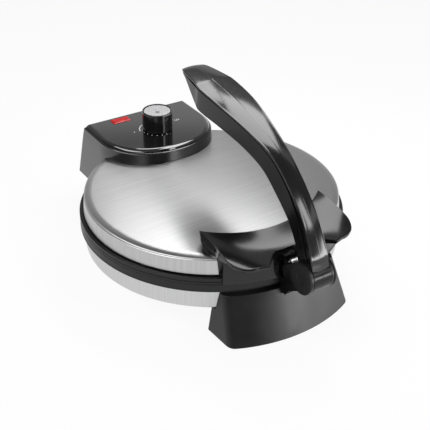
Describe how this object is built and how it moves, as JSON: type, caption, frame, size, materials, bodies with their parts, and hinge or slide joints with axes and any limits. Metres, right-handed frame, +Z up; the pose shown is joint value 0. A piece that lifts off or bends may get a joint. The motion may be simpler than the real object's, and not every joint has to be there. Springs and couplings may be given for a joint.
{
  "type": "electric roti maker",
  "caption": "Countertop flatbread press: heated plates in round steel casings, a lid hinged at the back with a thermostat box, and a curved press lever pivoted at the front.",
  "frame": {"origin": "on the floor under the middle of the whole object, which is also the axis of the round plates", "axes": "+Z up, -Y towards the front with the lever's pivot, +Y towards the lid's hinge, +X to the right seen from the front"},
  "size_m": [0.262, 0.357, 0.1958],
  "materials": {
    "brushed_casing": "brushed sheet steel",
    "satin_black": "satin moulded plastic",
    "gloss_black": "glossy moulded plastic",
    "dull_black": "dull moulded plastic",
    "coated_plate": "dark non-stick coating",
    "heater_sheath": "oxidised sheath",
    "plain_steel": "plain satin steel",
    "black_rubber": "matt",
    "ceramic_block": "unglazed cream",
    "red_lens": "clear red",
    "lamp_glass": "clear",
    "silver_cap": "satin",
    "brass_fitting": "plain"
  },
  "bodies": {
    "base": {"base_pan": "brushed_casing", "base_ring": "satin_black", "bottom_plate": "coated_plate", "bottom_heater": "heater_sheath", "base_heat_shield": "plain_steel", "thermal_fuse": "ceramic_block", "terminal_block": "ceramic_block", "base_post_1": "plain_steel", "base_post_2": "plain_steel", "base_post_3": "plain_steel", "front_foot": "satin_black", "rear_foot": "satin_black", "front_foot_pad_left": "black_rubber", "front_foot_pad_right": "black_rubber", "rear_foot_pad_left": "black_rubber", "rear_foot_pad_right": "black_rubber", "front_foot_screw_left": "plain_steel", "front_foot_screw_right": "plain_steel", "rear_foot_screw_left": "plain_steel", "rear_foot_screw_right": "plain_steel", "pivot_pin": "plain_steel", "pivot_cap_left": "dull_black", "pivot_cap_right": "dull_black", "hinge_pin": "plain_steel"},
    "lid": {"lid_shell": "brushed_casing", "lid_ring": "satin_black", "top_plate": "coated_plate", "top_heater": "heater_sheath", "lid_heat_shield": "plain_steel", "lid_post_1": "plain_steel", "lid_post_2": "plain_steel", "lid_post_3": "plain_steel", "control_box": "gloss_black", "control_panel": "gloss_black", "indicator_lens": "red_lens", "indicator_lamp": "lamp_glass", "thermostat": "ceramic_block", "cord_gland": "black_rubber", "lid_grip": "gloss_black", "roller_axle": "plain_steel", "lid_hinge_bracket": "plain_steel"},
    "knob": {"knob": "gloss_black", "knob_cap": "silver_cap", "thermostat_shaft": "brass_fitting"},
    "roller": {"press_roller": "plain_steel"},
    "lever": {"lever_cover": "gloss_black", "lever_arm": "gloss_black", "lever_bush_left": "brass_fitting", "lever_bush_right": "brass_fitting", "lever_screw_1": "plain_steel", "lever_screw_2": "plain_steel"}
  },
  "joints": [
    {"name": "lid_hinge", "type": "hinge", "parent": "base", "child": "lid", "pos_m": [0, 0.158, 0.058], "axis": [-1, 0, 0], "range_deg": [0, 100]},
    {"name": "lever_swing", "type": "hinge", "parent": "base", "child": "lever", "pos_m": [0, -0.1634, 0.0735], "axis": [1, 0, 0], "range_deg": [0, 140]},
    {"name": "knob_turn", "type": "hinge", "parent": "lid", "child": "knob", "pos_m": [0, 0.107, 0.099], "axis": [0, 0, 1], "range_deg": [-270, 0]},
    {"name": "roller_spin", "type": "hinge", "parent": "lid", "child": "roller", "pos_m": [0, -0.1386, 0.071], "axis": [1, 0, 0], "continuous": true}
  ],
  "couplings": [
    {"joint": "lever_swing", "follows": "lid_hinge", "ratio": 1.4}
  ]
}
